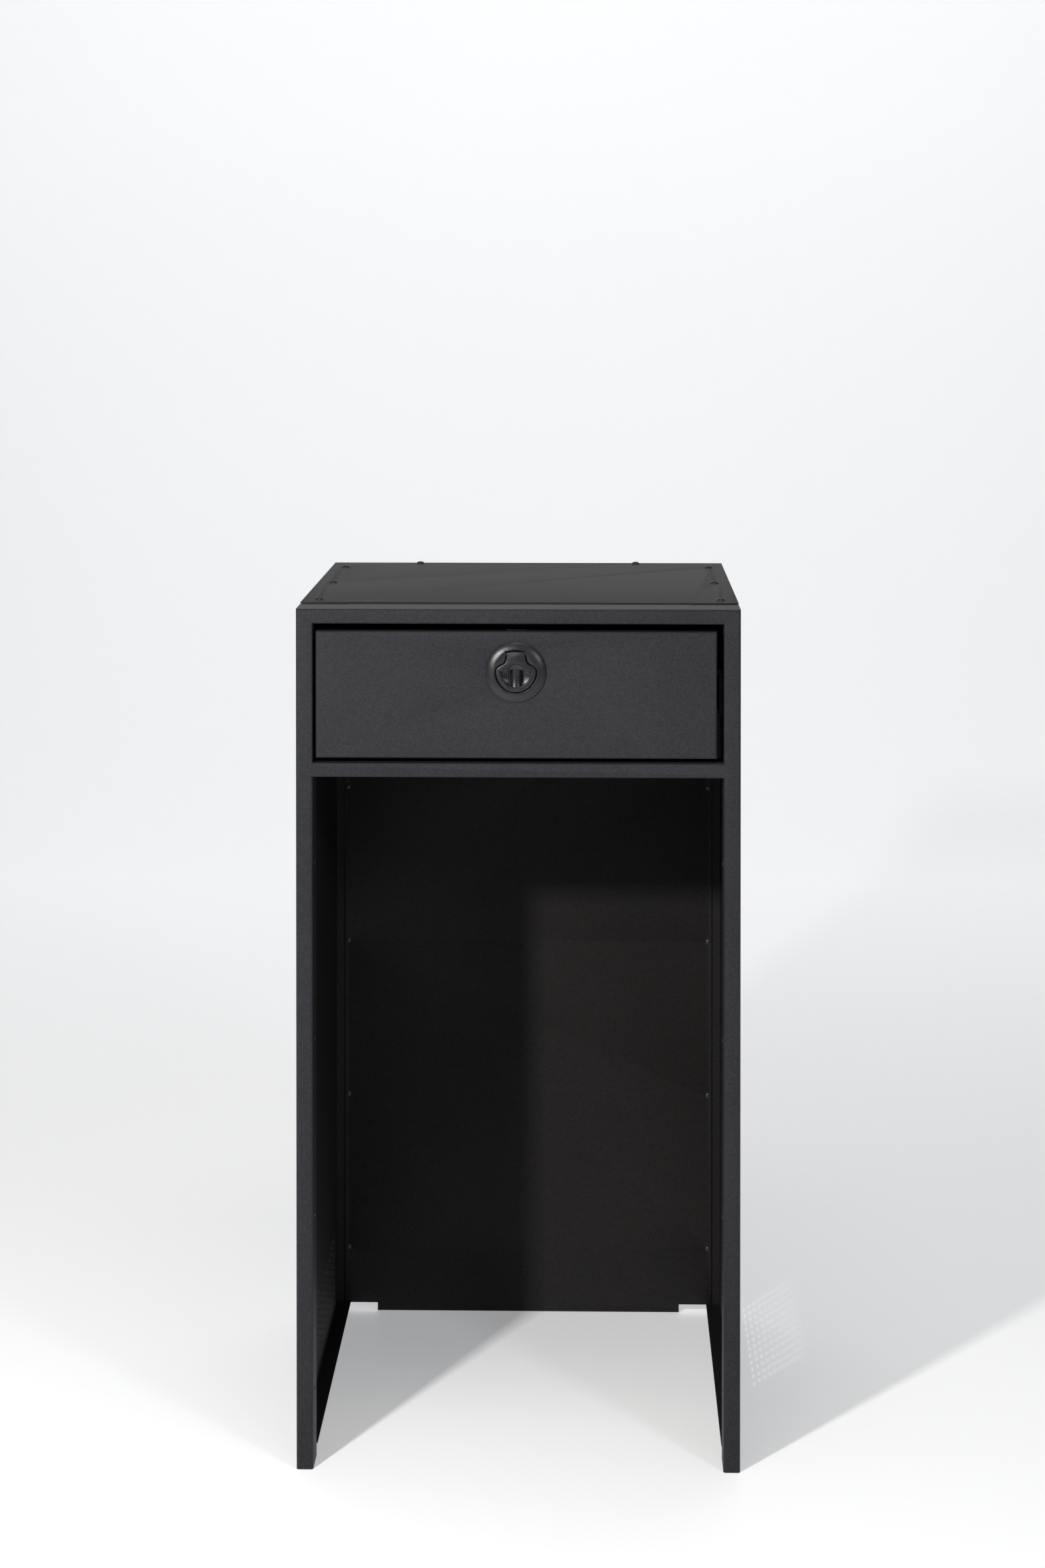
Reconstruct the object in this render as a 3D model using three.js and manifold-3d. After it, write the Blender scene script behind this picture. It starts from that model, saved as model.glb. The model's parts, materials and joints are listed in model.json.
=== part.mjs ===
// A tall, narrow sheet-metal cabinet module with one drawer above an open compartment.
// Millimetres. X is to the right, Y runs from the front to the back, Z is up.
// Inside the assembly, Y is the depth behind the front face. The assembly is then moved
// so that the origin is at the middle of the footprint.
import * as THREE from 'three';
import { mergeVertices } from 'three/addons/utils/BufferGeometryUtils.js';
import Module from 'manifold-3d';

const wasm = await Module();
wasm.setup();

// ---------------------------------------------------------------- sizes

// overall
const WIDTH = 450;
const DEPTH = 500;
const FRAME_HEIGHT = 875;

// sheet metal
const SHEET = 1.5;
const BEND = 1;
const BEND_STEPS = 3;
const HOLE_SEGMENTS = 12;
const GAP = 0.3;

// front frame
const FRAME_DEPTH = 50;
const STILE = 17;
const TOP_RAIL = 15;
const MID_RAIL = 14.5;
const DRAWER_OPENING = 141;
const INNER_RETURN = 40;

// side panels
const FOOT_GAP = 8;
const TOP_FLANGE = 32;
const BOTTOM_FLANGE = 17;
const REAR_FLANGE = 22;
const TAB_FRONT = 12;
const TAB_TOP_GAP = 3;

// back panel
const BACK_SIDE_GAP = 11;
const TONGUE_INSET = 49;
const BACK_TOP_FLANGE = 22;

// top panel
const TOP_FRONT_GAP = 2;
const TOP_FRONT_FLANGE = 15;

// vent field in each side wall: short level slots in rows and columns
const VENT_ROWS = 10;
const VENT_COLUMNS = 12;
const VENT_ROW_PITCH = 7.3;
const VENT_COLUMN_PITCH = 22;
const VENT_SLOT = 15;
const VENT_SLOT_HEIGHT = 3.2;
const VENT_LOW = 34;
const VENT_REAR = 35;

// fasteners
const RIVET_ROWS = 5;
const RIVET_FIRST = 75;
const RIVET_LAST = 80;
const RIVET_SHANK = 2;
const RIVET_HEAD = 3.2;
const RIVET_DOME = 1.2;
const RIVET_DOME_POINTS = [0, 0.45, 1];
const RIVET_TAIL = 2.9;
const RIVET_END_INSET = 0.1;
const RIVET_INSET = 15;
const FRAME_RIVET_DEPTH = 20;
const HOLE_CLEARANCE = 0.35;
const TOP_ROWS = 3;
const TOP_FIRST = 80;
const TOP_LAST = 60;
const TOP_SCREW_INSET = 17;
const REAR_SCREW_HALF = 125;
const REAR_SCREW_INSET = 12;
const SCREW_HEAD = 4.75;
const SCREW_HEAD_HEIGHT = 2.75;
const SCREW_DOME_POINTS = [0, 0.3, 0.55, 0.8, 1];
const SCREW_FLAT = 2.53;
const SCREW_SEGMENTS = 14;
const SCREW_SHANK = 2.4;
const SCREW_LENGTH = 9;
const SOCKET = 1.7;
const SOCKET_DEPTH = 1.5;

// drawer front
const FRONT_GAP_TOP = 7.4;
const FRONT_GAP_LOW = 5;
const FRONT_GAP_SIDE = 5;
const FRONT_SHIFT = -2;
const PAN_DEPTH = 18;
const PAN_LIP = 12;

// telescopic slides, three members on each side
const SLIDE_SHEET = 1.2;
const SLIDE_BEND = 0.5;
const SLIDE_HEIGHT = 45;
const SLIDE_THICK = 12.4;
const SLIDE_PLAY = 0.4;
const SLIDE_WALL_GAP = 0.3;
const SLIDE_BOX_GAP = 0.3;
const SLIDE_FRONT = 40;
const SLIDE_REAR_INSET = 10;
const SLIDE_LIP = 8;
const BRACKET_HALF = 27;
const BRACKET_FOOT = 15;
const BRACKET_FRONT_GAP = 1.2;
const SLIDE_SCREW_INSET = 60;
const SLIDE_SCREW = 2;
const SLIDE_NUT = 4.2;
const SLIDE_NUT_THICK = 3;

// drawer box
const BOX_SHEET = 1.2;
const BOX_LIP = 8;
const BOX_WALL_INSET = 1.08;
const BOX_LOW_STEP = 2;
const BOX_TOP_STEP = 5.2;
const BOX_REAR_CLEARANCE = 30;
const BOX_SCREW_SIDE = 16;
const BOX_SCREW_LOW = 7;
const BOX_SCREW_TOP = 5;
const BOX_SCREW = 2;
const BOX_SCREW_HEAD = 3.8;
const BOX_SCREW_HEAD_HEIGHT = 2.2;
const BOX_SCREW_RIM = 0.8;
const BOX_SCREW_SHOULDER = 2.7;
const BOX_SCREW_SHOULDER_HEIGHT = 1.9;
const BOX_SCREW_CROWN = 1.3;
const BOX_SCREW_LENGTH = 6;

// latch
const LATCH_DROP = 41;
const BEZEL = 30.4;
const BEZEL_FLAT = 23.8;
const BEZEL_PROUD = 4;
const BEZEL_RIM = 0.9;
const BEZEL_ROUNDING = 0.5;
const BEZEL_SEGMENTS = 64;
const GASKET = 0.8;
const GASKET_WIDTH = 4;
const CUP = 25.5;
const CUP_CLEARANCE = 0.5;
const CUP_DEPTH = 16.2;
const CUP_SEGMENTS = 48;
const NUT_FLATS = 56;
const NUT_THICK = 3.5;
const POCKET_FLOOR = 1.6;
const DISH_HALF = 18;
const DISH_HEIGHT = 13;
const DISH_DEPTH = 5.5;
const DISH_DROP = 5;
const DISH_CLEARANCE = 0.6;
const COLUMN = 6.6;
const COLUMN_DEPTH = 8.2;
const COLUMN_SEGMENTS = 24;
const GROOVE = 1.3;
const GROOVE_LOW = 11;
const GROOVE_TOP = 1.2;

// latch handle: half widths and heights about the latch's centre
const HANDLE_THICK = 3.6;
const HANDLE_GAP = 1.6;
const HANDLE_NECK = 9;
const HANDLE_TOP = 21.1;
const HANDLE_CROWN = 1.2;
const HANDLE_CORNER = 1;
const NECK_LOW = 8.5;
const SHOULDER = 15.2;
const SHOULDER_HEIGHT = 6.6;
const SHOULDER_EASE = 2.4;
const HANDLE_BOWL = 20;
const BOWL_WIDEST = 0.2;
const BOWL_EASE = 1.5;
const BOWL_FULLNESS = 0.56;
const HANDLE_LOW = 19.6;
const HANDLE_RIM = 4.4;
const FINGER_TOP = 1.4;
const FINGER_ARCH = 2.4;
const FINGER_CORNER = 2;
const SCOOP_HALF = 8.6;
const SCOOP_HEIGHT = 7;
const SCOOP_DEPTH = 3;
const SCOOP_MIDDLE = 1.8;
const PIN = 0.8;
const PIN_HALF = 11.7;
const PIN_DROP = 2.7;
const PIN_CLEARANCE = 0.2;
const BOLT_HALF = 10;
const BOLT_THICK = 4;
const BOLT_FRONT = 10.6;
const BOLT_LOW = 16;
const BOLT_LAND = 1;
const BOLT_CLEARANCE = 0.4;
const BOLT_SHOWING = 1;
const STRIKE_CLEARANCE = 2.5;
const TUNNEL_LOW = 6.5;
const SPRING = 1.6;
const SPRING_WIRE = 0.35;
const SPRING_TURNS = 4;
const SPRING_STEPS = 40;

// ---------------------------------------------------------------- places worked out from the sizes

const halfWidth = WIDTH / 2;
const openingHalf = halfWidth - STILE;
const openingTop = FRAME_HEIGHT - TOP_RAIL;
const midRailTop = openingTop - DRAWER_OPENING;
const midRailLow = midRailTop - MID_RAIL;
const bendOuter = BEND + SHEET;
const sideFront = FRAME_DEPTH + GAP;
const tabInner = openingHalf + SHEET + GAP;
const backFront = DEPTH - 2 * SHEET - GAP;
const backHalf = halfWidth - BACK_SIDE_GAP;
const tongueHalf = halfWidth - TONGUE_INSET;
const topUnder = FRAME_HEIGHT;
const topSurface = FRAME_HEIGHT + SHEET;
const topFront = FRAME_DEPTH + TOP_FRONT_GAP;

const panHalf = openingHalf - FRONT_GAP_SIDE;
const panTop = openingTop - FRONT_GAP_TOP;
const panLow = midRailTop + FRONT_GAP_LOW;
const latchHeight = panTop - LATCH_DROP;

const slideOuter = openingHalf - SLIDE_WALL_GAP;
const slideInner = slideOuter - SLIDE_THICK;
const boxHalf = slideInner - SLIDE_BOX_GAP;
const boxFront = PAN_DEPTH + GAP;
const boxRear = backFront - BOX_REAR_CLEARANCE;
const boxLow = panLow + BOX_LOW_STEP;
const boxTop = panTop - BOX_TOP_STEP;
const slideMiddleHeight = (boxLow + boxTop) / 2;
const slideRear = boxRear - SLIDE_REAR_INSET;

const rivetHeights = spread(RIVET_FIRST, FRAME_HEIGHT - RIVET_LAST, RIVET_ROWS);
const topDepths = spread(TOP_FIRST, DEPTH - TOP_LAST, TOP_ROWS);

// count values at equal steps from first to last
function spread(first, last, count) {
  return Array.from({ length: count }, (_, i) => first + ((last - first) * i) / (count - 1));
}

// ---------------------------------------------------------------- shape helpers

// which directions a drawing's two axes and its extrusion take
const DRAWN = {
  x: [new THREE.Vector3(0, 1, 0), new THREE.Vector3(0, 0, 1), new THREE.Vector3(1, 0, 0)],
  y: [new THREE.Vector3(1, 0, 0), new THREE.Vector3(0, 0, 1), new THREE.Vector3(0, -1, 0)],
  z: [new THREE.Vector3(1, 0, 0), new THREE.Vector3(0, 1, 0), new THREE.Vector3(0, 0, 1)],
};

// a prism along an axis, from a shape drawn in the other two: (y, z), (x, z) or (x, y)
function prism(shape, axis, from, to, curveSegments = 8) {
  const options = { depth: to - from, bevelEnabled: false, curveSegments };
  const geometry = new THREE.ExtrudeGeometry(shape, options);
  geometry.applyMatrix4(new THREE.Matrix4().makeBasis(...DRAWN[axis]));
  const start = axis === 'y' ? to : from;
  geometry.translate(axis === 'x' ? start : 0, axis === 'y' ? start : 0, axis === 'z' ? start : 0);
  return geometry;
}

// a closed mesh as a solid for booleans
function solid(geometry) {
  const bare = geometry.clone();
  bare.deleteAttribute('normal');
  bare.deleteAttribute('uv');
  const merged = mergeVertices(bare, 1e-4);
  const mesh = new wasm.Mesh({
    numProp: 3,
    vertProperties: new Float32Array(merged.attributes.position.array),
    triVerts: new Uint32Array(merged.index.array),
  });
  return new wasm.Manifold(mesh);
}

// a solid as a flat-shaded geometry
function geometryOf(shape) {
  const mesh = shape.getMesh();
  const geometry = new THREE.BufferGeometry();
  geometry.setAttribute('position', new THREE.BufferAttribute(mesh.vertProperties, 3));
  geometry.setIndex(new THREE.BufferAttribute(mesh.triVerts, 1));
  const flat = geometry.toNonIndexed();
  flat.computeVertexNormals();
  return flat;
}

function solidPrism(shape, axis, from, to, curveSegments) {
  return solid(prism(shape, axis, from, to, curveSegments));
}

function block(x0, x1, y0, y1, z0, z1) {
  const geometry = new THREE.BoxGeometry(x1 - x0, y1 - y0, z1 - z0);
  geometry.translate((x0 + x1) / 2, (y0 + y1) / 2, (z0 + z1) / 2);
  return solid(geometry);
}

// a round bar or cutter along an axis
function bar(radius, axis, from, to, a, b, segments = HOLE_SEGMENTS) {
  const circle = new THREE.Shape();
  circle.absarc(a, b, radius, 0, 2 * Math.PI);
  return solidPrism(circle, axis, from, to, segments);
}

function joined(...shapes) {
  return shapes.reduce((whole, next) => whole.add(next));
}

function cut(shape, ...cutters) {
  return cutters.reduce((rest, cutter) => rest.subtract(cutter), shape);
}

// the outline of a folded strip of sheet, from the middle line of its section
function strip(points, thickness = SHEET, innerRadius = BEND) {
  const radius = innerRadius + thickness / 2;
  const corners = points.map(([u, v]) => new THREE.Vector2(u, v));
  const line = [];
  const sides = [];
  const add = (point, along) => {
    line.push(point);
    sides.push(new THREE.Vector2(-along.y, along.x));
  };
  add(corners[0], corners[1].clone().sub(corners[0]).normalize());
  for (let i = 1; i < corners.length - 1; i += 1) {
    const before = corners[i].clone().sub(corners[i - 1]).normalize();
    const after = corners[i + 1].clone().sub(corners[i]).normalize();
    const turn = Math.atan2(before.cross(after), before.dot(after));
    const reach = radius * Math.tan(Math.abs(turn) / 2);
    const start = corners[i].clone().addScaledVector(before, -reach);
    const inward = new THREE.Vector2(-before.y, before.x).multiplyScalar(Math.sign(turn));
    const centre = start.clone().addScaledVector(inward, radius);
    for (let k = 0; k <= BEND_STEPS; k += 1) {
      const angle = (turn * k) / BEND_STEPS;
      const arm = start.clone().sub(centre).rotateAround(new THREE.Vector2(), angle);
      add(centre.clone().add(arm), before.clone().rotateAround(new THREE.Vector2(), angle));
    }
  }
  const last = corners.length - 1;
  add(corners[last], corners[last].clone().sub(corners[last - 1]).normalize());
  const edge = (sign) => line.map((p, i) => p.clone().addScaledVector(sides[i], (sign * thickness) / 2));
  return new THREE.Shape([...edge(-1), ...edge(1).reverse()]);
}

// a rectangle with rounded corners
function roundedRectangle(u0, u1, v0, v1, radius) {
  const shape = new THREE.Shape();
  shape.absarc(u1 - radius, v0 + radius, radius, -Math.PI / 2, 0);
  shape.absarc(u1 - radius, v1 - radius, radius, 0, Math.PI / 2);
  shape.absarc(u0 + radius, v1 - radius, radius, Math.PI / 2, Math.PI);
  shape.absarc(u0 + radius, v0 + radius, radius, Math.PI, (3 * Math.PI) / 2);
  return shape;
}

// a solid of revolution from (radius, height) points, pointing along X or Y
function turned(profile, axis, origin, segments = 12) {
  const points = profile.map(([r, h]) => new THREE.Vector2(r, h));
  const geometry = new THREE.LatheGeometry(points, segments);
  if (axis === 'x') geometry.rotateZ(-Math.PI / 2);
  geometry.translate(...origin);
  return solid(geometry);
}

// mirrors a finished geometry to the other side of the cabinet
function mirrored(geometry) {
  const copy = geometry.clone();
  const place = copy.attributes.position;
  for (let i = 0; i < place.count; i += 3) {
    const far = [place.getX(i + 2), place.getY(i + 2), place.getZ(i + 2)];
    place.setXYZ(i + 2, place.getX(i + 1), place.getY(i + 1), place.getZ(i + 1));
    place.setXYZ(i + 1, ...far);
  }
  for (let i = 0; i < place.count; i += 1) {
    place.setX(i, -place.getX(i));
  }
  copy.computeVertexNormals();
  return copy;
}

// ---------------------------------------------------------------- materials

const COATS = {
  frame: { color: 0x3f3f43, roughness: 0.62, metalness: 0.15 },
  panel: { color: 0x3b3b3e, roughness: 0.66, metalness: 0.15 },
  screw: { color: 0x1b1b1d, roughness: 0.45, metalness: 0.6 },
  rivet: { color: 0x47474b, roughness: 0.5, metalness: 0.4 },
  plated: { color: 0x2a2b2d, roughness: 0.4, metalness: 0.8 },
  latch: { color: 0x38383c, roughness: 0.5, metalness: 0.2 },
  rubber: { color: 0x151515, roughness: 0.9, metalness: 0 },
  spring: { color: 0x4a4b4e, roughness: 0.4, metalness: 1 },
};

const assembly = new THREE.Group();

function place(name, coat, geometry) {
  const mesh = new THREE.Mesh(geometry, new THREE.MeshStandardMaterial(COATS[coat]));
  mesh.name = name;
  assembly.add(mesh);
  return mesh;
}

// a piece on the right side and its mirror image on the left
function placeBoth(name, coat, geometry) {
  place(`${name}_right`, coat, geometry);
  place(`${name}_left`, coat, mirrored(geometry));
}

// ---------------------------------------------------------------- front frame

function frontFrame() {
  const mid = SHEET / 2;
  const inner = openingHalf + mid;
  const railHalf = openingHalf + SHEET;
  const flatHalf = openingHalf + bendOuter;
  const face = block(-halfWidth, halfWidth, 0, SHEET, 0, FRAME_HEIGHT);
  const lowOpening = block(-flatHalf, flatHalf, -1, 2 * SHEET, -1, midRailLow + bendOuter);
  const drawerLow = midRailTop - bendOuter;
  const highOpening = block(-flatHalf, flatHalf, -1, 2 * SHEET, drawerLow, openingTop + bendOuter);
  const roof = block(-halfWidth, halfWidth, 0, FRAME_DEPTH, FRAME_HEIGHT - SHEET, FRAME_HEIGHT);
  const sides = [1, -1].flatMap((sign) => {
    const wall = sign * (halfWidth - mid);
    const stile = strip([[sign * (flatHalf + mid), mid], [sign * inner, mid], [sign * inner, INNER_RETURN]]);
    return [
      block(wall - mid, wall + mid, 0, FRAME_DEPTH, 0, FRAME_HEIGHT),
      solidPrism(stile, 'z', 0, FRAME_HEIGHT - SHEET),
    ];
  });
  const topRail = strip([
    [mid, openingTop + bendOuter + mid],
    [mid, openingTop + mid],
    [INNER_RETURN, openingTop + mid],
  ]);
  const midRail = strip([
    [INNER_RETURN, midRailTop - mid],
    [mid, midRailTop - mid],
    [mid, midRailLow + mid],
    [INNER_RETURN, midRailLow + mid],
  ]);
  const whole = joined(
    cut(face, lowOpening, highOpening),
    roof,
    ...sides,
    solidPrism(topRail, 'x', -railHalf, railHalf),
    solidPrism(midRail, 'x', -railHalf, railHalf),
  );
  const reach = FRAME_DEPTH + bendOuter;
  const plan = roundedRectangle(-halfWidth, halfWidth, 0, reach, bendOuter);
  const side = roundedRectangle(0, reach, -2 * bendOuter, FRAME_HEIGHT, bendOuter);
  const rounded = whole
    .intersect(solidPrism(plan, 'z', 0, FRAME_HEIGHT, BEND_STEPS))
    .intersect(solidPrism(side, 'x', -halfWidth, halfWidth, BEND_STEPS));
  const holes = rivetHeights.flatMap((height) => [1, -1].map((sign) => rivetHole(sign, height)));
  const strike = block(
    FRONT_SHIFT - BOLT_HALF - STRIKE_CLEARANCE,
    FRONT_SHIFT + BOLT_HALF + STRIKE_CLEARANCE,
    BOLT_FRONT - STRIKE_CLEARANCE,
    BOLT_FRONT + BOLT_THICK + STRIKE_CLEARANCE,
    openingTop - SHEET,
    openingTop + 2 * SHEET,
  );
  return cut(rounded, ...holes, strike);
}

// the hole that a frame rivet goes through, in the stile's return and the side panel's tab
function rivetHole(sign, height) {
  const near = sign > 0 ? openingHalf - SHEET : -(tabInner + 2 * SHEET);
  const far = sign > 0 ? tabInner + 2 * SHEET : -(openingHalf - SHEET);
  return bar(RIVET_SHANK + HOLE_CLEARANCE, 'x', near, far, FRAME_RIVET_DEPTH, height);
}

// ---------------------------------------------------------------- side panels

function sidePanel() {
  const mid = SHEET / 2;
  const inside = halfWidth - TOP_FLANGE;
  const wallFace = halfWidth - SHEET;
  const foldRear = sideFront + SHEET;
  const roofUnder = FRAME_HEIGHT - SHEET;
  const floorTop = FOOT_GAP + SHEET;
  const rearFace = DEPTH - SHEET;
  const tabFlat = tabInner + bendOuter;
  const around = halfWidth - 2 * TOP_FLANGE;
  const planOutline = roundedRectangle(around, halfWidth, sideFront, DEPTH, bendOuter);
  const uprightOutline = roundedRectangle(around, halfWidth, FOOT_GAP, FRAME_HEIGHT, bendOuter);
  const body = block(inside, halfWidth, sideFront, DEPTH, FOOT_GAP, FRAME_HEIGHT)
    .intersect(solidPrism(planOutline, 'z', FOOT_GAP, FRAME_HEIGHT, BEND_STEPS))
    .intersect(solidPrism(uprightOutline, 'y', sideFront, DEPTH, BEND_STEPS));
  const shell = cut(
    body,
    block(0, wallFace, foldRear, rearFace, floorTop, roofUnder),
    block(0, tabFlat, 0, foldRear, 0, FRAME_HEIGHT + 1),
    block(0, halfWidth - REAR_FLANGE, rearFace, DEPTH + 1, 0, roofUnder),
    block(0, halfWidth - BOTTOM_FLANGE, 0, DEPTH + 1, 0, floorTop),
  );
  const fold = strip([
    [tabInner + mid, TAB_FRONT],
    [tabInner + mid, sideFront + mid],
    [tabFlat + mid, sideFront + mid],
  ]);
  const tab = solidPrism(fold, 'z', FOOT_GAP + bendOuter, roofUnder - TAB_TOP_GAP);
  const rivets = rivetHeights.flatMap((height) => [rivetHole(1, height), backRivetHole(1, height)]);
  const screwX = halfWidth - TOP_SCREW_INSET;
  const screws = topDepths.map((depth) =>
    bar(SCREW_SHANK + HOLE_CLEARANCE, 'z', roofUnder - SHEET, FRAME_HEIGHT + SHEET, screwX, depth),
  );
  return cut(joined(shell, tab), ...rivets, ...screws, ...vents());
}

// short level slots, cut through the side wall
function vents() {
  const cutters = [];
  for (let row = 0; row < VENT_ROWS; row += 1) {
    for (let column = 0; column < VENT_COLUMNS; column += 1) {
      const rear = DEPTH - VENT_REAR - column * VENT_COLUMN_PITCH;
      const low = VENT_LOW + row * VENT_ROW_PITCH - VENT_SLOT_HEIGHT / 2;
      const out = halfWidth + SHEET;
      cutters.push(block(halfWidth - 2 * SHEET, out, rear - VENT_SLOT, rear, low, low + VENT_SLOT_HEIGHT));
    }
  }
  return cutters;
}

// ---------------------------------------------------------------- back and top panels

function backRivetHole(sign, height) {
  const x = sign * (halfWidth - RIVET_INSET);
  return bar(RIVET_SHANK + HOLE_CLEARANCE, 'y', backFront - SHEET, DEPTH + SHEET, x, height);
}

function rearScrewHoles() {
  const radius = SCREW_SHANK + HOLE_CLEARANCE;
  const depth = DEPTH - REAR_SCREW_INSET;
  return [REAR_SCREW_HALF, -REAR_SCREW_HALF].map((x) =>
    bar(radius, 'z', FRAME_HEIGHT - 2 * SHEET, FRAME_HEIGHT + 2 * SHEET, x, depth),
  );
}

function backPanel() {
  const mid = SHEET / 2;
  const middle = backFront + mid;
  const roof = FRAME_HEIGHT - mid;
  const section = strip([
    [backFront - BACK_TOP_FLANGE, roof],
    [middle, roof],
    [middle, mid],
    [DEPTH, mid],
  ]);
  const sheetTop = FRAME_HEIGHT - bendOuter - GAP;
  const sheetLow = FOOT_GAP + SHEET + GAP;
  const sheet = block(-backHalf, backHalf, backFront, backFront + SHEET, sheetLow, sheetTop);
  const tongue = solidPrism(section, 'x', -tongueHalf, tongueHalf);
  const holes = rivetHeights.flatMap((height) => [1, -1].map((sign) => backRivetHole(sign, height)));
  return cut(joined(sheet, tongue), ...holes, ...rearScrewHoles());
}

function topPanel() {
  const mid = SHEET / 2;
  const level = topUnder + mid;
  const sheet = block(-halfWidth, halfWidth, topFront, DEPTH, topUnder, topSurface);
  const noseRear = topFront + bendOuter;
  const nose = block(-tongueHalf, tongueHalf, topFront - 1, noseRear, topUnder - 1, topSurface + 1);
  const fold = strip([
    [topFront + mid, topSurface - TOP_FRONT_FLANGE],
    [topFront + mid, level],
    [topFront + 4 * bendOuter, level],
  ]);
  const flange = solidPrism(fold, 'x', -tongueHalf, tongueHalf);
  const radius = SCREW_SHANK + HOLE_CLEARANCE;
  const holes = topDepths.flatMap((depth) =>
    [1, -1].map((sign) =>
      bar(radius, 'z', topUnder - 1, topSurface + 1, sign * (halfWidth - TOP_SCREW_INSET), depth),
    ),
  );
  return cut(joined(cut(sheet, nose), flange), ...holes, ...rearScrewHoles());
}

// ---------------------------------------------------------------- fasteners

// a dome head, a shank and a formed tail; the head's seat is at height 0 and the shank goes up
function rivetProfile(shankLength, tailStart) {
  const dome = RIVET_DOME_POINTS.map((t) => [
    RIVET_HEAD * Math.sin((t * Math.PI) / 2),
    -RIVET_DOME * Math.cos((t * Math.PI) / 2),
  ]);
  const tail = tailStart
    ? [[RIVET_SHANK, tailStart], [RIVET_TAIL, tailStart], [RIVET_TAIL, shankLength]]
    : [[RIVET_SHANK, shankLength]];
  return [...dome, [RIVET_SHANK, 0], ...tail, [0, shankLength]];
}

function frameRivet(height) {
  const tailStart = tabInner + SHEET - openingHalf;
  const profile = rivetProfile(tailStart + SHEET, tailStart);
  return turned(profile, 'x', [openingHalf, FRAME_RIVET_DEPTH, height]);
}

function backRivet(height) {
  const profile = rivetProfile(DEPTH - backFront - RIVET_END_INSET, 0);
  return turned(profile, 'y', [halfWidth - RIVET_INSET, backFront, height]);
}

// a button head with a hexagonal socket; the head's seat is at z 0 and the shank goes down
function topScrew() {
  const dome = SCREW_DOME_POINTS.map((t) => [
    SCREW_HEAD * Math.sin((t * Math.PI) / 2),
    SCREW_HEAD_HEIGHT * Math.cos((t * Math.PI) / 2),
  ]);
  const flat = dome.map(([r, h]) => [r, Math.min(h, SCREW_FLAT)]);
  const shank = [[0, -SCREW_LENGTH], [SCREW_SHANK, -SCREW_LENGTH], [SCREW_SHANK, 0]];
  const profile = [...shank, ...flat.reverse()];
  const body = turnedUp(profile, SCREW_SEGMENTS);
  const socketLow = SCREW_HEAD_HEIGHT - SOCKET_DEPTH;
  return cut(body, solidPrism(hexagon(SOCKET, 0, 0), 'z', socketLow, SCREW_HEAD_HEIGHT + 1));
}

// a solid of revolution about Z
function turnedUp(profile, segments) {
  const points = profile.map(([r, h]) => new THREE.Vector2(r, h));
  const geometry = new THREE.LatheGeometry(points, segments);
  geometry.rotateX(Math.PI / 2);
  return solid(geometry);
}

// the outline of a hexagon about a point, from its corners' distance
function hexagon(radius, a, b) {
  const corners = Array.from({ length: 6 }, (_, i) => {
    const angle = (i * Math.PI) / 3;
    return new THREE.Vector2(a + radius * Math.cos(angle), b + radius * Math.sin(angle));
  });
  return new THREE.Shape(corners);
}

// ---------------------------------------------------------------- slides

// a C section that opens towards the middle of the cabinet (sign -1) or away from it (sign 1)
function slideMember(web, sign, halfHeight) {
  const middle = web + (sign * SLIDE_SHEET) / 2;
  const tip = middle + sign * SLIDE_LIP;
  const high = slideMiddleHeight + halfHeight - SLIDE_SHEET / 2;
  const low = slideMiddleHeight - halfHeight + SLIDE_SHEET / 2;
  const line = [[tip, high], [middle, high], [middle, low], [tip, low]];
  const section = strip(line, SLIDE_SHEET, SLIDE_BEND);
  return solidPrism(section, 'y', SLIDE_FRONT, slideRear);
}

const slideScrewDepths = [SLIDE_FRONT + SLIDE_SCREW_INSET, slideRear - SLIDE_SCREW_INSET];
const bracketWeb = openingHalf;

function slideScrewHole(depth) {
  const reach = bracketWeb + 2 * SHEET;
  const near = slideOuter - 2 * SLIDE_SHEET;
  return bar(SLIDE_SCREW + HOLE_CLEARANCE, 'x', near, reach, depth, slideMiddleHeight);
}

function bracket() {
  const mid = SHEET / 2;
  const foot = halfWidth - SHEET - GAP - mid;
  const web = bracketWeb + mid;
  const high = slideMiddleHeight + BRACKET_HALF;
  const low = slideMiddleHeight - BRACKET_HALF;
  const section = strip([
    [foot, high + BRACKET_FOOT],
    [foot, high],
    [web, high],
    [web, low],
    [foot, low],
    [foot, low - BRACKET_FOOT],
  ]);
  const front = sideFront + SHEET + BRACKET_FRONT_GAP;
  return cut(solidPrism(section, 'y', front, slideRear), ...slideScrewDepths.map(slideScrewHole));
}

// a flush shank through the slide's web and the bracket, with a hexagonal nut behind
function slideScrew(depth) {
  const start = slideOuter - SLIDE_SHEET;
  const nutStart = bracketWeb + SHEET;
  const nutEnd = nutStart + SLIDE_NUT_THICK;
  const shank = bar(SLIDE_SCREW, 'x', start, nutEnd, depth, slideMiddleHeight);
  const nut = solidPrism(hexagon(SLIDE_NUT, depth, slideMiddleHeight), 'x', nutStart, nutEnd);
  return joined(shank, nut);
}

// ---------------------------------------------------------------- drawer

const latchX = FRONT_SHIFT;
const boxScrewHalf = boxHalf - BOX_SCREW_SIDE;
const boxScrewHeights = [boxLow + BOX_SCREW_LOW, boxTop - BOX_SCREW_TOP];

function boxScrewHole(sign, height) {
  const x = sign * boxScrewHalf;
  return bar(BOX_SCREW + HOLE_CLEARANCE, 'y', PAN_DEPTH - 2 * SHEET, boxFront + 2 * BOX_SHEET, x, height);
}

function boxScrewHoles() {
  return boxScrewHeights.flatMap((height) => [1, -1].map((sign) => boxScrewHole(sign, height)));
}

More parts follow.
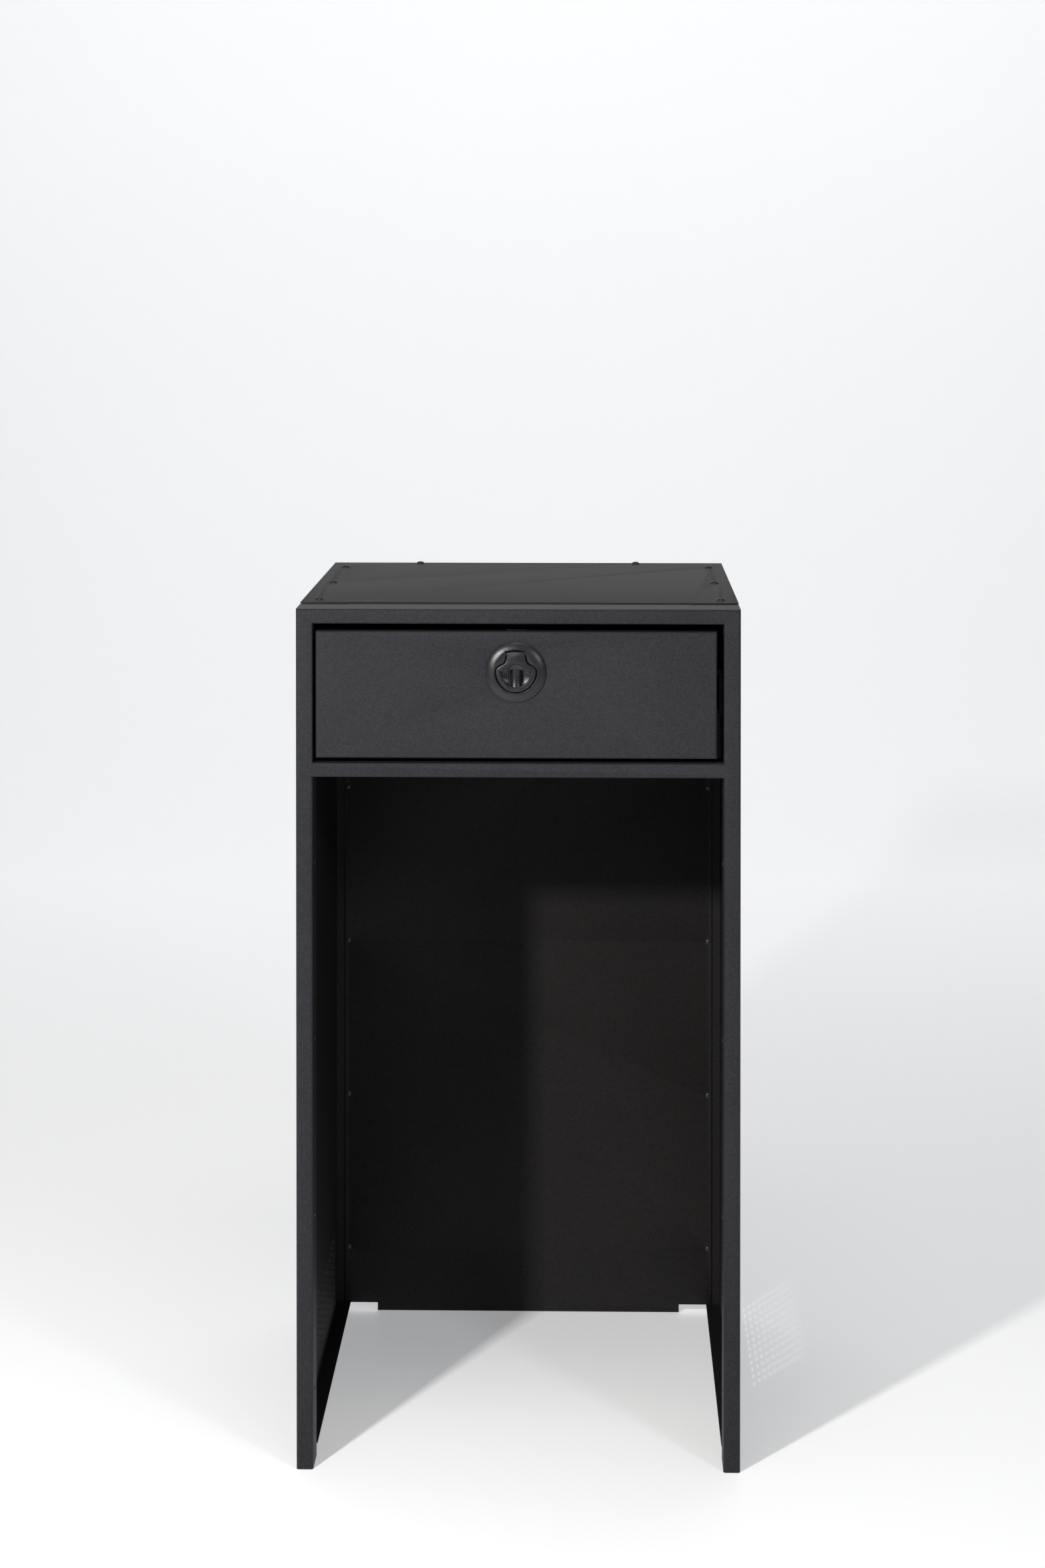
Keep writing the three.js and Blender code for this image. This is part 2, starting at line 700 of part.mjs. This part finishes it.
function drawerFront() {
  const left = FRONT_SHIFT - panHalf;
  const right = FRONT_SHIFT + panHalf;
  const inset = SHEET + PAN_LIP;
  const planOutline = roundedRectangle(left, right, 0, PAN_DEPTH, bendOuter);
  const sideOutline = roundedRectangle(0, PAN_DEPTH, panLow, panTop, bendOuter);
  const body = solidPrism(planOutline, 'z', panLow, panTop, BEND_STEPS)
    .intersect(solidPrism(sideOutline, 'x', left, right, BEND_STEPS));
  const hollow = block(
    left + SHEET,
    right - SHEET,
    SHEET,
    PAN_DEPTH - SHEET,
    panLow + SHEET,
    panTop - SHEET,
  );
  const mouth = block(left + inset, right - inset, SHEET, PAN_DEPTH + 1, panLow + inset, panTop - inset);
  const latchHole = bar(CUP + CUP_CLEARANCE, 'y', -SHEET, 2 * SHEET, latchX, latchHeight, CUP_SEGMENTS);
  const boltSlot = boltCutter(panTop - 2 * SHEET, panTop + SHEET);
  return cut(body, hollow, mouth, latchHole, boltSlot, ...boxScrewHoles());
}

// the space that the bolt needs, with its clearance
function boltCutter(low, high) {
  return block(
    latchX - BOLT_HALF - BOLT_CLEARANCE,
    latchX + BOLT_HALF + BOLT_CLEARANCE,
    BOLT_FRONT - BOLT_CLEARANCE,
    BOLT_FRONT + BOLT_THICK + BOLT_CLEARANCE,
    low,
    high,
  );
}

function drawerBox() {
  const mid = BOX_SHEET / 2;
  const side = boxHalf - mid;
  const low = boxLow + mid;
  const high = boxTop - mid;
  const section = strip(
    [
      [-boxHalf + BOX_LIP, high],
      [-side, high],
      [-side, low],
      [side, low],
      [side, high],
      [boxHalf - BOX_LIP, high],
    ],
    BOX_SHEET,
  );
  const tray = solidPrism(section, 'y', boxFront, boxRear);
  return cut(joined(tray, endWall(boxFront), endWall(boxRear - BOX_SHEET)), ...boxScrewHoles());
}

// a wall across the box, let a little into the tray's sheet
function endWall(start) {
  const wallHalf = boxHalf - BOX_WALL_INSET;
  const low = boxLow + BOX_WALL_INSET;
  return block(-wallHalf, wallHalf, start, start + BOX_SHEET, low, boxTop - BOX_WALL_INSET);
}

// a button-head screw from inside the box into the pan's lip
function boxScrew(sign, height) {
  const seat = boxFront + BOX_SHEET;
  const profile = [
    [0, -BOX_SCREW_LENGTH],
    [BOX_SCREW, -BOX_SCREW_LENGTH],
    [BOX_SCREW, 0],
    [BOX_SCREW_HEAD, 0],
    [BOX_SCREW_HEAD, BOX_SCREW_RIM],
    [BOX_SCREW_SHOULDER, BOX_SCREW_SHOULDER_HEIGHT],
    [BOX_SCREW_CROWN, BOX_SCREW_HEAD_HEIGHT],
    [0, BOX_SCREW_HEAD_HEIGHT],
  ];
  return turned(profile, 'y', [sign * boxScrewHalf, seat, height]);
}

// ---------------------------------------------------------------- latch

const handleBack = -BEZEL_PROUD + HANDLE_THICK;
const pinDepth = -BEZEL_PROUD + HANDLE_THICK / 2;
const pinHeight = HANDLE_TOP - PIN_DROP;

// a closed outline that is alike on both sides: curves lead down the right side from a start
// to the middle of the bottom, and a single curve closes the top
function twoSided(start, curves, crown) {
  const shape = new THREE.Shape();
  shape.moveTo(...start);
  curves.forEach(([leave, arrive, end]) => shape.bezierCurveTo(...leave, ...arrive, ...end));
  const points = [start, ...curves.flat()];
  const back = points.slice(0, -1).reverse().map(([x, height]) => [-x, height]);
  for (let i = 0; i < back.length; i += 3) {
    shape.bezierCurveTo(...back[i], ...back[i + 1], ...back[i + 2]);
  }
  shape.quadraticCurveTo(0, start[1] + 2 * crown, ...start);
  return shape;
}

// the bell-shaped outline of the handle, grown all round
function bell(grow) {
  const neck = HANDLE_NECK + grow;
  const bowl = HANDLE_BOWL + grow;
  const low = -HANDLE_LOW - grow;
  const corner = HANDLE_TOP - HANDLE_CROWN + grow;
  const shoulder = [SHOULDER + grow / 3, SHOULDER_HEIGHT + grow];
  const intoShoulder = [SHOULDER - SHOULDER_EASE + grow / 2, shoulder[1] + SHOULDER_EASE / 2];
  const outOfShoulder = [bowl - BOWL_EASE, shoulder[1] - BOWL_EASE];
  return twoSided(
    [neck - HANDLE_CORNER, corner],
    [
      [[neck, corner], [neck, corner], [neck, corner - HANDLE_CORNER]],
      [[neck, NECK_LOW], intoShoulder, shoulder],
      [outOfShoulder, [bowl, BOWL_WIDEST + 2 * BOWL_EASE], [bowl, BOWL_WIDEST]],
      [[bowl, low / 2], [bowl * BOWL_FULLNESS, low], [0, low]],
    ],
    HANDLE_CROWN,
  );
}

// the D-shaped finger hole, with a slightly arched top
function fingerHole(grow) {
  const half = HANDLE_BOWL - HANDLE_RIM + grow;
  const low = -HANDLE_LOW + HANDLE_RIM - grow;
  const top = FINGER_TOP + grow;
  return twoSided(
    [half - FINGER_CORNER, top],
    [
      [[half, top], [half, top], [half, top - FINGER_CORNER]],
      [[half, low / 2], [half * BOWL_FULLNESS, low], [0, low]],
    ],
    FINGER_ARCH / 2,
  );
}

// a ball stretched to three half sizes
function ellipsoid(halfX, halfY, halfZ, y, z) {
  const ball = new THREE.SphereGeometry(1, 24, 12);
  ball.scale(halfX, halfY, halfZ);
  ball.translate(0, y, z);
  return solid(ball);
}

// moves a latch solid's geometry from the latch's centre to its place in the drawer front
function atLatch(geometry) {
  return geometry.translate(latchX, 0, latchHeight);
}

// the body behind the bezel, with the handle's pocket, a dished finger space split by a
// round column between two grooves, and the bolt's tunnel
function latchHousing() {
  const rimFront = -GASKET - BEZEL_RIM;
  const profile = [
    [0, -BEZEL_PROUD],
    [BEZEL_FLAT, -BEZEL_PROUD],
    [BEZEL - BEZEL_ROUNDING, rimFront],
    [BEZEL, rimFront + BEZEL_ROUNDING],
    [BEZEL, -GASKET],
    [CUP, -GASKET],
    [CUP, CUP_DEPTH],
    [0, CUP_DEPTH],
  ];
  const body = turned(profile, 'y', [0, 0, 0], BEZEL_SEGMENTS);
  const pocket = solidPrism(bell(HANDLE_GAP), 'y', -BEZEL_PROUD - 1, POCKET_FLOOR);
  const under = solidPrism(fingerHole(DISH_CLEARANCE), 'y', 0, CUP_DEPTH);
  const dish = ellipsoid(DISH_HALF, DISH_DEPTH, DISH_HEIGHT, POCKET_FLOOR, -DISH_DROP);
  const column = bar(COLUMN, 'z', -BEZEL, BEZEL, 0, COLUMN_DEPTH, COLUMN_SEGMENTS);
  const grooves = [1, -1].map((sign) => {
    const middle = sign * (COLUMN + GROOVE / 2);
    const near = middle - GROOVE / 2;
    return block(near, near + GROOVE, 0, COLUMN_DEPTH, -GROOVE_LOW, GROOVE_TOP);
  });
  const tunnel = block(
    -BOLT_HALF - BOLT_CLEARANCE,
    BOLT_HALF + BOLT_CLEARANCE,
    BOLT_FRONT - BOLT_CLEARANCE,
    BOLT_FRONT + BOLT_THICK + BOLT_CLEARANCE,
    TUNNEL_LOW,
    CUP + 1,
  );
  const pinHole = bar(PIN + PIN_CLEARANCE, 'x', -PIN_HALF - GAP, PIN_HALF + GAP, pinDepth, pinHeight);
  return cut(body, pocket, dish.intersect(under).subtract(column), ...grooves, tunnel, pinHole);
}

function latchHandle() {
  const front = -BEZEL_PROUD;
  const plate = solidPrism(bell(0), 'y', front, handleBack);
  const finger = solidPrism(fingerHole(0), 'y', front - 1, handleBack + 1);
  const scoop = ellipsoid(SCOOP_HALF, SCOOP_DEPTH, SCOOP_HEIGHT, front, SCOOP_MIDDLE);
  const pinHole = bar(PIN + PIN_CLEARANCE, 'x', -BEZEL, BEZEL, pinDepth, pinHeight);
  return cut(plate, finger, scoop, pinHole);
}

function latchGasket() {
  const profile = [
    [BEZEL - GASKET_WIDTH, -GASKET],
    [BEZEL, -GASKET],
    [BEZEL, 0],
    [BEZEL - GASKET_WIDTH, 0],
    [BEZEL - GASKET_WIDTH, -GASKET],
  ];
  return turned(profile, 'y', [0, 0, 0], BEZEL_SEGMENTS);
}

function latchNut() {
  const radius = NUT_FLATS / 2 / Math.cos(Math.PI / 6);
  const ring = solidPrism(hexagon(radius, 0, 0), 'y', SHEET, SHEET + NUT_THICK);
  return cut(ring, bar(CUP + CUP_CLEARANCE, 'y', 0, 3 * NUT_THICK, 0, 0, CUP_SEGMENTS));
}

// from inside the housing to just above the drawer front, under the frame's strike slot
function latchBolt() {
  const tip = panTop + BOLT_SHOWING - latchHeight;
  const ramp = new THREE.Shape([
    new THREE.Vector2(BOLT_FRONT, BOLT_LOW),
    new THREE.Vector2(BOLT_FRONT + BOLT_THICK, BOLT_LOW),
    new THREE.Vector2(BOLT_FRONT + BOLT_THICK, tip - BOLT_THICK + BOLT_LAND),
    new THREE.Vector2(BOLT_FRONT + BOLT_LAND, tip),
    new THREE.Vector2(BOLT_FRONT, tip),
  ]);
  return solidPrism(ramp, 'x', -BOLT_HALF, BOLT_HALF);
}

function latchSpring() {
  const low = TUNNEL_LOW + GAP + SPRING_WIRE;
  const high = BOLT_LOW - GAP - SPRING_WIRE;
  const middle = BOLT_FRONT + BOLT_THICK / 2;
  class Helix extends THREE.Curve {
    getPoint(t, target = new THREE.Vector3()) {
      const angle = 2 * Math.PI * SPRING_TURNS * t;
      return target.set(SPRING * Math.cos(angle), middle + SPRING * Math.sin(angle), low + (high - low) * t);
    }
  }
  const section = new THREE.Shape();
  section.absarc(0, 0, SPRING_WIRE, 0, 2 * Math.PI);
  const options = { extrudePath: new Helix(), steps: SPRING_STEPS, curveSegments: 2, bevelEnabled: false };
  return new THREE.ExtrudeGeometry(section, options);
}

// ---------------------------------------------------------------- assembly

place('front_frame', 'frame', geometryOf(frontFrame()));
placeBoth('side_panel', 'panel', geometryOf(sidePanel()));
place('back_panel', 'panel', geometryOf(backPanel()));
place('top_panel', 'panel', geometryOf(topPanel()));

rivetHeights.forEach((height, i) => {
  placeBoth(`frame_rivet_${i + 1}`, 'rivet', geometryOf(frameRivet(height)));
  placeBoth(`back_rivet_${i + 1}`, 'rivet', geometryOf(backRivet(height)));
});

const screw = geometryOf(topScrew());
topDepths.forEach((depth, i) => {
  [['right', 1], ['left', -1]].forEach(([side, sign]) => {
    const head = place(`top_screw_${i + 1}_${side}`, 'screw', screw);
    head.position.set(sign * (halfWidth - TOP_SCREW_INSET), depth, topSurface);
  });
});
[['right', 1], ['left', -1]].forEach(([side, sign]) => {
  const head = place(`top_screw_rear_${side}`, 'screw', screw);
  head.position.set(sign * REAR_SCREW_HALF, DEPTH - REAR_SCREW_INSET, topSurface);
});

const slideHalf = SLIDE_HEIGHT / 2;
const slideStep = SLIDE_SHEET + SLIDE_PLAY;
const outerMember = cut(slideMember(slideOuter, -1, slideHalf), ...slideScrewDepths.map(slideScrewHole));
placeBoth('slide_bracket', 'plated', geometryOf(bracket()));
placeBoth('slide_outer', 'plated', geometryOf(outerMember));
const middleMember = slideMember(slideOuter - slideStep, -1, slideHalf - slideStep);
placeBoth('slide_middle', 'plated', geometryOf(middleMember));
placeBoth('slide_inner', 'plated', geometryOf(slideMember(slideInner, 1, slideHalf - 2 * slideStep)));
slideScrewDepths.forEach((depth, i) => {
  placeBoth(`slide_screw_${i + 1}`, 'screw', geometryOf(slideScrew(depth)));
});

place('drawer_front', 'frame', geometryOf(drawerFront()));
place('drawer_box', 'panel', geometryOf(drawerBox()));
boxScrewHeights.forEach((height, i) => {
  placeBoth(`box_screw_${i + 1}`, 'screw', geometryOf(boxScrew(1, height)));
});

place('latch_housing', 'latch', atLatch(geometryOf(latchHousing())));
place('latch_gasket', 'rubber', atLatch(geometryOf(latchGasket())));
place('latch_nut', 'latch', atLatch(geometryOf(latchNut())));
place('latch_handle', 'latch', atLatch(geometryOf(latchHandle())));
place('latch_pin', 'spring', atLatch(geometryOf(bar(PIN, 'x', -PIN_HALF, PIN_HALF, pinDepth, pinHeight))));
place('latch_bolt', 'plated', atLatch(geometryOf(latchBolt())));
place('latch_spring', 'spring', atLatch(latchSpring()));

// the footprint runs from the bezel's front to the back of the cabinet
assembly.position.y = -(DEPTH - BEZEL_PROUD) / 2;

const group = new THREE.Group();
group.add(assembly);
group.updateMatrixWorld(true);

export default group;
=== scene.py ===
"""Looks for the single-drawer sheet-metal cabinet: finishes, return spring, studio and camera."""
import json
import math

import bmesh
import bpy
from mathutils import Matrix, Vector


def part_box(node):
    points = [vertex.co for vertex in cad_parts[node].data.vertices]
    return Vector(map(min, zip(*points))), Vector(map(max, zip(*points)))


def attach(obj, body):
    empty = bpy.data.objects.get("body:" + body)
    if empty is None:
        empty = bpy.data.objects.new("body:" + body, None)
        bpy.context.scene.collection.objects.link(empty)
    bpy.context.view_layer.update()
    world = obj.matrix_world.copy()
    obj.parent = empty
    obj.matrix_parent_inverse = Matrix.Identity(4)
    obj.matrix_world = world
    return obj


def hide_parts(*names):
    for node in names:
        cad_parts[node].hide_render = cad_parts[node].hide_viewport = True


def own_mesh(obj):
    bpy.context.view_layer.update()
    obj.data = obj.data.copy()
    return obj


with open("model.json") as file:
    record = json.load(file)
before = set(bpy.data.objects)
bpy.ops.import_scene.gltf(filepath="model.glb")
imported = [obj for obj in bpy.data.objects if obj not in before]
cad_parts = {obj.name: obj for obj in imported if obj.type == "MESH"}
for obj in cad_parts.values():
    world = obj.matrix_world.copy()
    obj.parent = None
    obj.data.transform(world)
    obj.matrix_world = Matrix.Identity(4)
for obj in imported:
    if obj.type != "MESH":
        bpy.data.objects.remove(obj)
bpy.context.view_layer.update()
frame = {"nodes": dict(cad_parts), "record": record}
nodes = frame["nodes"]


# ---------------------------------------------------------------- node helpers

def new_material(name):
    """An empty node material with its output and its Principled shader."""
    material = bpy.data.materials.new(name)
    material.use_nodes = True
    tree = material.node_tree
    tree.nodes.clear()
    output = tree.nodes.new("ShaderNodeOutputMaterial")
    shader = tree.nodes.new("ShaderNodeBsdfPrincipled")
    tree.links.new(shader.outputs["BSDF"], output.inputs["Surface"])
    return material, tree, shader


def place_coordinates(tree):
    """Positions in metres in the piece's own frame."""
    return tree.nodes.new("ShaderNodeTexCoord").outputs["Object"]


def noise(tree, scale, detail=2.0, roughness=0.5, stretch=None):
    """Noise with `scale` features to the metre, pulled out along an axis by `stretch`."""
    vector = place_coordinates(tree)
    if stretch:
        mapping = tree.nodes.new("ShaderNodeMapping")
        mapping.inputs["Scale"].default_value = stretch
        tree.links.new(vector, mapping.inputs["Vector"])
        vector = mapping.outputs["Vector"]
    texture = tree.nodes.new("ShaderNodeTexNoise")
    texture.inputs["Scale"].default_value = scale
    texture.inputs["Detail"].default_value = detail
    texture.inputs["Roughness"].default_value = roughness
    tree.links.new(vector, texture.inputs["Vector"])
    return texture.outputs["Fac"]


def ranged(tree, value, low, high, from_low=0.3, from_high=0.7):
    """The value moved from one range to another."""
    node = tree.nodes.new("ShaderNodeMapRange")
    node.inputs["From Min"].default_value = from_low
    node.inputs["From Max"].default_value = from_high
    node.inputs["To Min"].default_value = low
    node.inputs["To Max"].default_value = high
    tree.links.new(value, node.inputs["Value"])
    return node.outputs["Result"]


def blended(tree, factor, first, second):
    """A colour between two colours."""
    node = tree.nodes.new("ShaderNodeMix")
    node.data_type = "RGBA"
    node.inputs["A"].default_value = (*first, 1)
    node.inputs["B"].default_value = (*second, 1)
    tree.links.new(factor, node.inputs["Factor"])
    return node.outputs["Result"]


def summed(tree, first, second, weight):
    """first + weight * second."""
    node = tree.nodes.new("ShaderNodeMath")
    node.operation = "MULTIPLY_ADD"
    tree.links.new(second, node.inputs[0])
    node.inputs[1].default_value = weight
    tree.links.new(first, node.inputs[2])
    return node.outputs["Value"]


def bumped(tree, shader, height, distance):
    """Relief of the given depth in metres."""
    node = tree.nodes.new("ShaderNodeBump")
    node.inputs["Distance"].default_value = distance
    tree.links.new(height, node.inputs["Height"])
    tree.links.new(node.outputs["Normal"], shader.inputs["Normal"])


# ---------------------------------------------------------------- materials

CLOUD_SCALE = 7.0
CLOUD_WEIGHT = 0.3
FINE_TO_COARSE = 3.5
FINE_WEIGHT = 0.35
ROUGHNESS_SPREAD = 0.07


def powder_coat(name, dark, light, grain, relief, roughness, gloss):
    """Black powder coat: a leathery grain about as wide as `grain` metres, with a fine sparkle."""
    material, tree, shader = new_material(name)
    coarse = noise(tree, 1 / grain, detail=3.0, roughness=0.6)
    fine = noise(tree, FINE_TO_COARSE / grain, detail=1.0)
    clouds = noise(tree, CLOUD_SCALE)
    speckle = ranged(tree, coarse, 0.0, 1.0, from_low=0.36, from_high=0.64)
    mottle = summed(tree, speckle, ranged(tree, clouds, -0.5, 0.5), CLOUD_WEIGHT)
    tree.links.new(blended(tree, mottle, dark, light), shader.inputs["Base Color"])
    rough = ranged(tree, fine, roughness - ROUGHNESS_SPREAD, roughness + ROUGHNESS_SPREAD)
    tree.links.new(rough, shader.inputs["Roughness"])
    shader.inputs["Specular IOR Level"].default_value = gloss
    bumped(tree, shader, summed(tree, coarse, fine, FINE_WEIGHT), relief)
    return material


PLATING_CLOUDS = 60.0
ROLLING_MARKS = 900.0
DARKER_PLATING = 0.72
FINE_RELIEF = 0.00002


def plated_steel(name, colour, roughness, grain=(1, 1, 1)):
    """Plated steel with faint rolling marks and cloudy plating."""
    material, tree, shader = new_material(name)
    clouds = noise(tree, PLATING_CLOUDS, detail=3.0)
    marks = noise(tree, ROLLING_MARKS, stretch=grain)
    darker = tuple(DARKER_PLATING * c for c in colour)
    tree.links.new(blended(tree, clouds, darker, colour), shader.inputs["Base Color"])
    shader.inputs["Metallic"].default_value = 1.0
    tree.links.new(ranged(tree, marks, roughness - 0.08, roughness + 0.1), shader.inputs["Roughness"])
    bumped(tree, shader, marks, FINE_RELIEF)
    return material


def black_oxide(name):
    """Blackened screw steel, a little worn."""
    material, tree, shader = new_material(name)
    wear = noise(tree, 1500.0, detail=3.0)
    tree.links.new(
        blended(tree, ranged(tree, wear, 0, 1), (0.012, 0.012, 0.013), (0.05, 0.05, 0.052)),
        shader.inputs["Base Color"],
    )
    shader.inputs["Metallic"].default_value = 0.6
    tree.links.new(ranged(tree, wear, 0.3, 0.48), shader.inputs["Roughness"])
    bumped(tree, shader, wear, FINE_RELIEF)
    return material


def soft_rubber(name):
    """Matt black rubber with a dusty bloom."""
    material, tree, shader = new_material(name)
    bloom = noise(tree, 1100.0, detail=3.0)
    tree.links.new(
        blended(tree, ranged(tree, bloom, 0, 1), (0.006, 0.006, 0.006), (0.016, 0.016, 0.016)),
        shader.inputs["Base Color"],
    )
    tree.links.new(ranged(tree, bloom, 0.75, 0.9), shader.inputs["Roughness"])
    bumped(tree, shader, bloom, 0.00004)
    return material


# each: name, darkest and lightest colour, grain and relief in metres, roughness, gloss
POWDER_COATS = [
    # coat_front and coat_panel are lit and shaded copies of one black coat: coat_panel's darker colour
    # is painted shade for the cabinet's panels
    ("coat_front", (0.0125, 0.0125, 0.0148), (0.0272, 0.0272, 0.0322), 0.0012, 0.0006, 0.5, 0.17),
    ("coat_panel", (0.0108, 0.01, 0.0097), (0.0205, 0.019, 0.0187), 0.0013, 0.0004, 0.6, 0.15),
    ("rivet_black", (0.022, 0.022, 0.024), (0.036, 0.036, 0.039), 0.0012, 0.00006, 0.4, 0.4),
    ("latch_black", (0.007, 0.007, 0.0084), (0.0135, 0.0135, 0.0162), 0.001, 0.0001, 0.3, 0.42),
]
FINISH = {row[0]: powder_coat(*row) for row in POWDER_COATS}
FINISH["screw_black"] = black_oxide("screw_black")
FINISH["black_zinc"] = plated_steel("black_zinc", (0.036, 0.037, 0.041), 0.34, grain=(1, 0.02, 1))
FINISH["spring_steel"] = plated_steel("spring_steel", (0.07, 0.07, 0.075), 0.4)
FINISH["gasket_rubber"] = soft_rubber("gasket_rubber")
SLOT_OF = {row["node"]: row["material_slot"] for row in frame["record"]["subparts"]}


def dress(obj, finish):
    """Gives every material slot of a piece one finish."""
    if not obj.material_slots:
        obj.data.materials.append(None)
    for material_slot in obj.material_slots:
        material_slot.material = FINISH[finish]


def smooth_by_angle(limit):
    """A node group that shades a mesh smooth except across edges sharper than the limit."""
    group = bpy.data.node_groups.new("smooth_by_angle", "GeometryNodeTree")
    group.interface.new_socket("Geometry", in_out="INPUT", socket_type="NodeSocketGeometry")
    group.interface.new_socket("Geometry", in_out="OUTPUT", socket_type="NodeSocketGeometry")
    start = group.nodes.new("NodeGroupInput")
    end = group.nodes.new("NodeGroupOutput")
    faces = group.nodes.new("GeometryNodeSetShadeSmooth")
    edges = group.nodes.new("GeometryNodeSetShadeSmooth")
    edges.domain = "EDGE"
    edges.inputs["Shade Smooth"].default_value = False
    angle = group.nodes.new("GeometryNodeInputMeshEdgeAngle")
    sharp = group.nodes.new("FunctionNodeCompare")
    sharp.operation = "GREATER_THAN"
    sharp.inputs["B"].default_value = math.radians(limit)
    group.links.new(start.outputs[0], faces.inputs["Geometry"])
    group.links.new(faces.outputs["Geometry"], edges.inputs["Geometry"])
    group.links.new(angle.outputs["Unsigned Angle"], sharp.inputs["A"])
    group.links.new(sharp.outputs["Result"], edges.inputs["Selection"])
    group.links.new(edges.outputs["Geometry"], end.inputs[0])
    return group


# angles in degrees, the weld distance in metres
SMOOTH_LIMIT = 34
FLAT_LIMIT = 0.2
BEVEL_LIMIT = 40
BEVEL_SEGMENTS = 2
WELD_DISTANCE = 0.00001
SMOOTH = smooth_by_angle(SMOOTH_LIMIT)


def soften(obj, width):
    """Rounds a CAD node's sharp edges by `width` metres and smooths its bends, as modifiers."""
    weld = obj.modifiers.new("weld", "WELD")
    weld.merge_threshold = WELD_DISTANCE
    if width:
        flat = obj.modifiers.new("flat", "DECIMATE")
        flat.decimate_type = "DISSOLVE"
        flat.angle_limit = math.radians(FLAT_LIMIT)
        bevel = obj.modifiers.new("edge", "BEVEL")
        bevel.width = width
        bevel.segments = BEVEL_SEGMENTS
        bevel.limit_method = "ANGLE"
        bevel.angle_limit = math.radians(BEVEL_LIMIT)
        bevel.use_clamp_overlap = True
    smooth = obj.modifiers.new("smooth", "NODES")
    smooth.node_group = SMOOTH


# how much each piece's cut edges are rounded, in metres; pieces not named keep theirs
EDGE = {
    "front_frame": 0.0004,
    "drawer_front": 0.0004,
    "top_panel": 0.0004,
    "back_panel": 0.0004,
    "latch_housing": 0.0003,
    "latch_handle": 0.0004,
}
for name, obj in nodes.items():
    dress(obj, SLOT_OF[name])
    soften(obj, EDGE.get(name, 0))

# the return spring stands on the housing; a copy of its mesh takes its place and rides with the drawer
coil = bpy.data.objects.new("return_spring_coil", nodes["latch_spring"].data.copy())
bpy.context.scene.collection.objects.link(coil)
coil.matrix_world = nodes["latch_spring"].matrix_world.copy()
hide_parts("latch_spring")
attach(coil, "drawer")
dress(coil, "spring_steel")
soften(coil, 0)
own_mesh(coil)


# ---------------------------------------------------------------- studio

def flat_material(name, colour, roughness, glow):
    """Matt paper that lifts itself a little towards white."""
    material, tree, shader = new_material(name)
    tint = noise(tree, 1.5, detail=1.0)
    paler = tuple(min(1.0, 1.015 * c) for c in colour)
    tree.links.new(blended(tree, tint, colour, paler), shader.inputs["Base Color"])
    shader.inputs["Roughness"].default_value = roughness
    shader.inputs["Specular IOR Level"].default_value = 0.2
    shader.inputs["Emission Color"].default_value = (*colour, 1)
    shader.inputs["Emission Strength"].default_value = glow
    return material


def sweep(name, near, far, half_width, height, radius, steps=24):
    """A studio sweep: a floor that curves up into a back wall."""
    section = [(near, 0.0), (far - radius, 0.0)]
    for i in range(1, steps + 1):
        angle = math.pi / 2 * i / steps
        section.append((far - radius + radius * math.sin(angle), radius - radius * math.cos(angle)))
    section.append((far, height))
    shape = bmesh.new()
    rows = [[shape.verts.new((x, y, z)) for y, z in section] for x in (-half_width, half_width)]
    for i in range(len(section) - 1):
        face = shape.faces.new((rows[0][i], rows[1][i], rows[1][i + 1], rows[0][i + 1]))
        face.smooth = True
    mesh = bpy.data.meshes.new(name)
    shape.to_mesh(mesh)
    shape.free()
    obj = bpy.data.objects.new(name, mesh)
    bpy.context.scene.collection.objects.link(obj)
    obj.data.materials.append(flat_material(name, (0.86, 0.865, 0.875), 0.6, PAPER_GLOW))
    return obj


def area_light(name, place, target, size, power, colour):
    """A rectangular softbox that faces its target."""
    light = bpy.data.lights.new(name, "AREA")
    light.shape = "RECTANGLE"
    light.size, light.size_y = size
    light.energy = power
    light.color = colour
    obj = bpy.data.objects.new(name, light)
    obj.location = place
    obj.rotation_euler = (Vector(target) - Vector(place)).to_track_quat("-Z", "Y").to_euler()
    bpy.context.scene.collection.objects.link(obj)
    return obj


PAPER_GLOW = 0.34
front_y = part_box("front_frame")[0].y
sweep("floor", near=front_y - 5.0, far=4.5, half_width=6.0, height=5.0, radius=1.6)

# each: name, place, target, size, power, colour
LIGHTS = [
    ("key", (-0.9, front_y - 1.6, 1.4), (0, front_y + 0.2, 0.4), (0.09, 0.09), 40, (1.0, 0.985, 0.965)),
    ("fill_right", (1.5, front_y - 2.2, 1.6), (0, front_y, 0.4), (0.3, 0.3), 15, (0.84, 0.91, 1.0)),
    ("wall", (0.0, 2.2, 3.6), (0, 4.5, 1.2), (5.0, 1.0), 50, (1.0, 1.0, 1.0)),
    ("top", (0.2, front_y - 0.7, 2.7), (0, front_y + 0.1, 0.8), (1.2, 0.7), 12, (1.0, 0.94, 0.86)),
]
for light_row in LIGHTS:
    area_light(*light_row)

world = bpy.data.worlds.new("studio")
bpy.context.scene.world = world
world.use_nodes = True
background = world.node_tree.nodes["Background"]
background.inputs["Color"].default_value = (0.97, 0.985, 1.0, 1)
background.inputs["Strength"].default_value = 0.12

scene = bpy.context.scene
scene.view_settings.view_transform = "Standard"
scene.view_settings.look = "None"

# the camera's place in metres, its tilt and turn in degrees, and its lens
CAMERA_RIGHT = 0.0769
CAMERA_BACK = 3.2216
CAMERA_HEIGHT = 1.2169
CAMERA_TILT = 0.835
CAMERA_TURN = 1.286
LENS = 73.36
SENSOR = 36
SHIFT_Y = -0.2975
camera_data = bpy.data.cameras.new("camera")
camera = bpy.data.objects.new("camera", camera_data)
camera.location = (CAMERA_RIGHT, front_y - CAMERA_BACK, CAMERA_HEIGHT)
camera.rotation_euler = (math.radians(90 - CAMERA_TILT), 0, math.radians(CAMERA_TURN))
camera_data.sensor_width = SENSOR
camera_data.lens = LENS
camera_data.shift_y = SHIFT_Y
scene.collection.objects.link(camera)
scene.camera = camera
